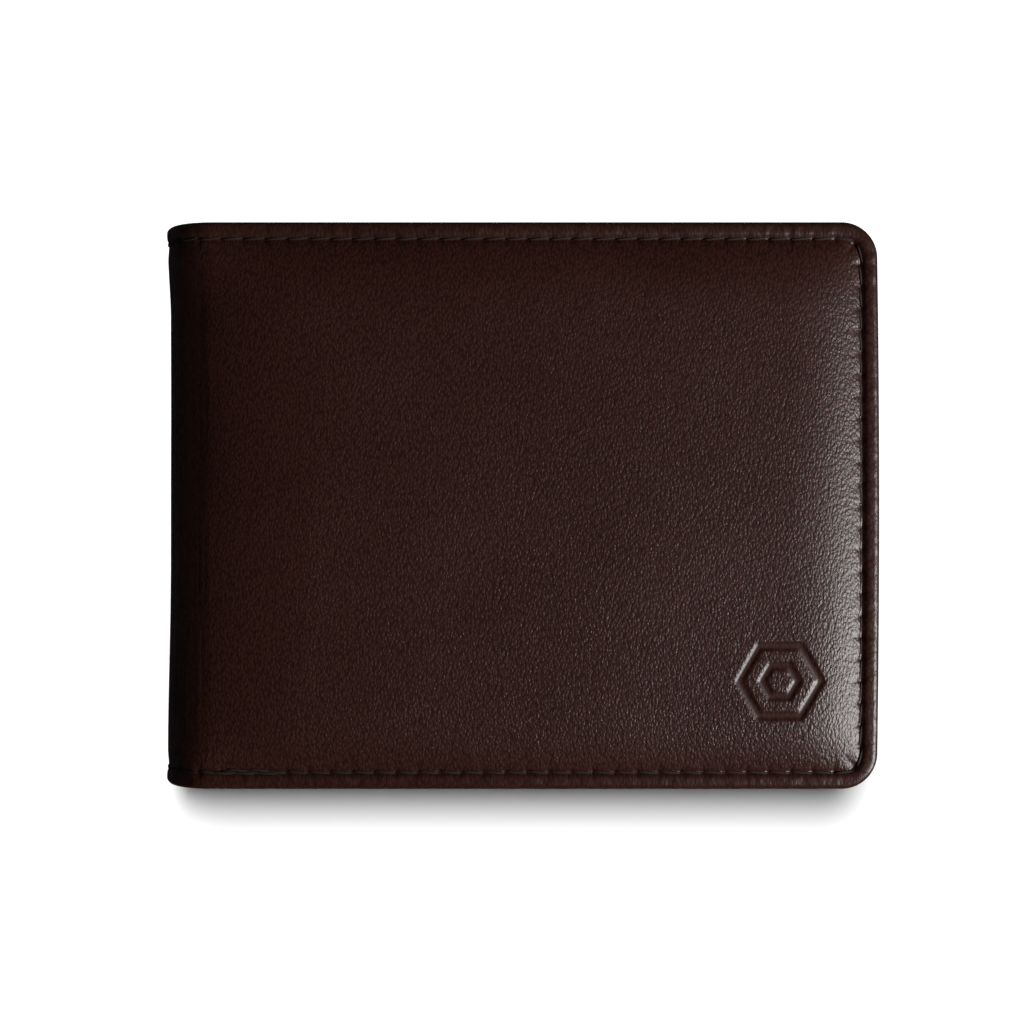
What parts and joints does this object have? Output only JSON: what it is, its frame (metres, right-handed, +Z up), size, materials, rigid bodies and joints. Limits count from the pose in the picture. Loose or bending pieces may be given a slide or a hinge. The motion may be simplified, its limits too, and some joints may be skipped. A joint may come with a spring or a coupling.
{
  "type": "bifold wallet",
  "caption": "Slim leather bifold wallet with a rounded folding spine, stitched rim, full-length banknote pocket and card pockets on both inner panels.",
  "frame": {"origin": "centre of the closed wallet's footprint, on the surface that its back cover lies on", "axes": "+X from the folded spine to the open edge, +Y from the sewn bottom to the mouth of the banknote pocket, +Z up through the front cover"},
  "size_m": [0.114, 0.09, 0.02],
  "materials": {
    "cover_leather": "dark brown fine-grained leather, satin",
    "inner_leather": "dark brown thin leather, satin",
    "lining_cloth": "dark brown woven lining",
    "stiff_board": "plain grey-brown board",
    "padding": "soft felt padding",
    "thread": "dark brown waxed thread"
  },
  "bodies": {
    "back_half": {"cover_back": "cover_leather", "board_back": "stiff_board", "padding_back": "padding", "seam_thread_back": "thread", "bill_lining_back": "lining_cloth", "inner_wall_back": "lining_cloth", "wall_hem_bottom_back": "lining_cloth", "wall_hem_side_back": "lining_cloth", "slip_panel_back": "inner_leather", "slip_hem_bottom_back": "inner_leather", "slip_hem_side_back": "inner_leather", "slip_hem_top_back": "inner_leather", "card_slot_upper_back": "inner_leather", "card_slot_lower_back": "inner_leather", "card_pocket_back": "inner_leather", "pocket_edge_side_back": "inner_leather", "pocket_edge_gutter_back": "inner_leather", "pocket_edge_bottom_back": "inner_leather"},
    "spine_back": {"cover_spine_back": "cover_leather", "bill_lining_spine_back": "lining_cloth", "inner_wall_spine_back": "lining_cloth", "wall_hem_spine_back": "lining_cloth", "thread_top_spine_back": "thread", "thread_bottom_spine_back": "thread"},
    "spine_mid": {"cover_spine_mid": "cover_leather", "bill_lining_spine_mid": "lining_cloth", "inner_wall_spine_mid": "lining_cloth", "wall_hem_spine_mid": "lining_cloth", "thread_top_spine_mid": "thread", "thread_bottom_spine_mid": "thread"},
    "spine_front": {"cover_spine_front": "cover_leather", "bill_lining_spine_front": "lining_cloth", "inner_wall_spine_front": "lining_cloth", "wall_hem_spine_front": "lining_cloth", "thread_top_spine_front": "thread", "thread_bottom_spine_front": "thread"},
    "front_half": {"cover_front": "cover_leather", "board_front": "stiff_board", "padding_front": "padding", "seam_thread_front": "thread", "bill_lining_front": "lining_cloth", "inner_wall_front": "lining_cloth", "wall_hem_bottom_front": "lining_cloth", "wall_hem_side_front": "lining_cloth", "slip_panel_front": "inner_leather", "slip_hem_bottom_front": "inner_leather", "slip_hem_side_front": "inner_leather", "slip_hem_top_front": "inner_leather", "card_slot_upper_front": "inner_leather", "card_slot_lower_front": "inner_leather", "card_pocket_front": "inner_leather", "pocket_edge_side_front": "inner_leather", "pocket_edge_gutter_front": "inner_leather", "pocket_edge_bottom_front": "inner_leather"}
  },
  "joints": [
    {"name": "fold_back", "type": "hinge", "parent": "back_half", "child": "spine_back", "pos_m": [-0.05172, 0, 0.0021], "axis": [0, -1, 0], "range_deg": [0, 45]},
    {"name": "fold_lower", "type": "hinge", "parent": "spine_back", "child": "spine_mid", "pos_m": [-0.05635, 0, 0.00673], "axis": [0, -1, 0], "range_deg": [0, 45]},
    {"name": "fold_upper", "type": "hinge", "parent": "spine_mid", "child": "spine_front", "pos_m": [-0.05635, 0, 0.01327], "axis": [0, -1, 0], "range_deg": [0, 45]},
    {"name": "fold_front", "type": "hinge", "parent": "spine_front", "child": "front_half", "pos_m": [-0.05172, 0, 0.0179], "axis": [0, -1, 0], "range_deg": [0, 45]}
  ],
  "couplings": [
    {"joint": "fold_lower", "follows": "fold_back", "ratio": 1},
    {"joint": "fold_upper", "follows": "fold_back", "ratio": 1},
    {"joint": "fold_front", "follows": "fold_back", "ratio": 1}
  ]
}
